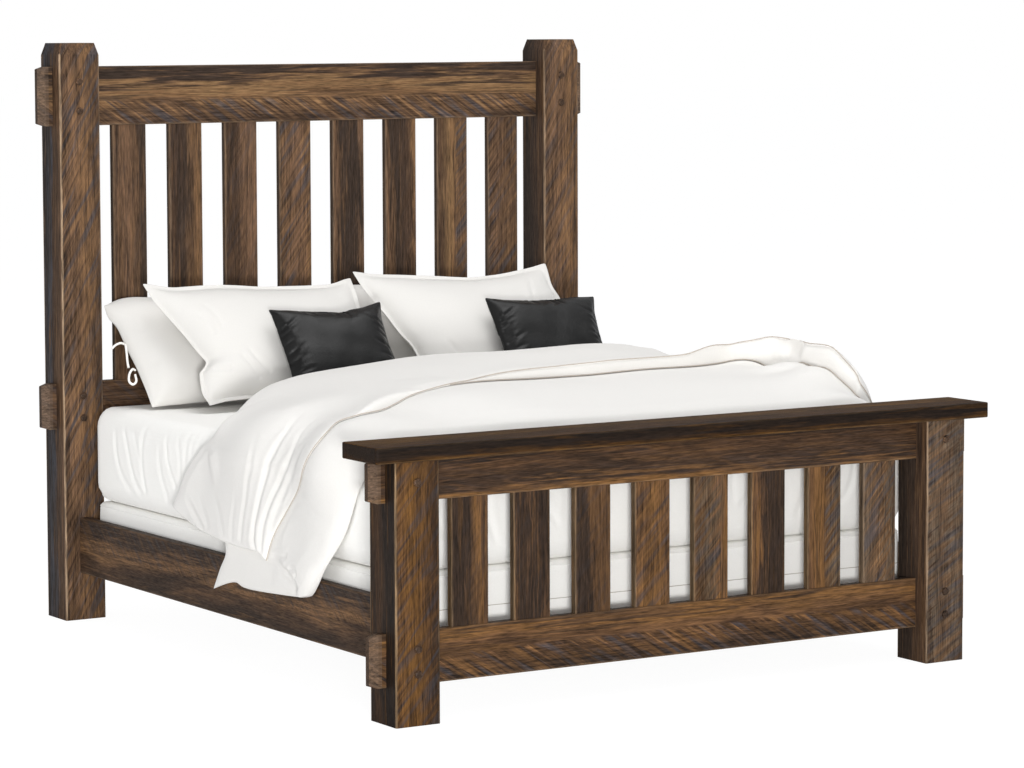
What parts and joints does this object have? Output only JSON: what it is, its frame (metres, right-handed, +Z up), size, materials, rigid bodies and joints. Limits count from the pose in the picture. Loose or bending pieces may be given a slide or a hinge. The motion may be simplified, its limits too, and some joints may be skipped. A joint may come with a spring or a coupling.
{
  "type": "bed",
  "caption": "King-size plank bed with square timber posts, pegged through-tenon rails, upright slats, a cap board on the footboard, mattress, duvet and pillows.",
  "frame": {"origin": "on the floor, under the middle of the box that holds the whole bed", "axes": "+Z up, +Y towards the headboard, +X to the right seen from the foot end"},
  "size_m": [2.256, 2.407, 1.975],
  "materials": {
    "hardwood": "rough sawn, satin walnut stain",
    "peg_wood": "satin dark stain",
    "cross_wood": "planed, unstained",
    "cotton": "matte woven cotton",
    "ticking": "matte upholstery cloth",
    "black_leather": "soft satin",
    "plate_steel": "zinc plated",
    "foot_steel": "zinc plated"
  },
  "bodies": {
    "bed": {"back_pillow_left": "cotton", "back_pillow_right": "cotton", "centre_leg_1": "cross_wood", "centre_leg_2": "cross_wood", "centre_leg_3": "cross_wood", "centre_leg_4": "cross_wood", "cross_slat_1": "cross_wood", "cross_slat_2": "cross_wood", "cross_slat_3": "cross_wood", "cross_slat_4": "cross_wood", "duvet": "cotton", "footboard_cap": "hardwood", "footboard_lower_rail": "hardwood", "footboard_pegs": "peg_wood", "footboard_post_left": "hardwood", "footboard_post_right": "hardwood", "footboard_slat_1": "hardwood", "footboard_slat_2": "hardwood", "footboard_slat_3": "hardwood", "footboard_slat_4": "hardwood", "footboard_slat_5": "hardwood", "footboard_slat_6": "hardwood", "footboard_slat_7": "hardwood", "footboard_slat_8": "hardwood", "footboard_top_rail": "hardwood", "foundation": "ticking", "front_pillow_left": "cotton", "front_pillow_right": "cotton", "headboard_bottom_rail": "hardwood", "headboard_pegs": "peg_wood", "headboard_post_left": "hardwood", "headboard_post_right": "hardwood", "headboard_slat_1": "hardwood", "headboard_slat_2": "hardwood", "headboard_slat_3": "hardwood", "headboard_slat_4": "hardwood", "headboard_slat_5": "hardwood", "headboard_slat_6": "hardwood", "headboard_slat_7": "hardwood", "headboard_slat_8": "hardwood", "headboard_top_rail": "hardwood", "lumbar_cushion_left": "black_leather", "lumbar_cushion_right": "black_leather", "mattress": "cotton", "post_catch_plates": "plate_steel", "rail_cleat_left": "cross_wood", "rail_cleat_right": "cross_wood", "rail_hook_plates": "plate_steel", "side_rail_left": "hardwood", "side_rail_right": "hardwood"},
    "levelling_foot_1_body": {"levelling_foot_1": "foot_steel"},
    "levelling_foot_2_body": {"levelling_foot_2": "foot_steel"},
    "levelling_foot_3_body": {"levelling_foot_3": "foot_steel"},
    "levelling_foot_4_body": {"levelling_foot_4": "foot_steel"}
  },
  "joints": [
    {"name": "levelling_screw_1", "type": "slide", "parent": "bed", "child": "levelling_foot_1_body", "axis": [0, 0, 1], "range_m": [0, 0.012]},
    {"name": "levelling_screw_2", "type": "slide", "parent": "bed", "child": "levelling_foot_2_body", "axis": [0, 0, 1], "range_m": [0, 0.012]},
    {"name": "levelling_screw_3", "type": "slide", "parent": "bed", "child": "levelling_foot_3_body", "axis": [0, 0, 1], "range_m": [0, 0.012]},
    {"name": "levelling_screw_4", "type": "slide", "parent": "bed", "child": "levelling_foot_4_body", "axis": [0, 0, 1], "range_m": [0, 0.012]}
  ]
}
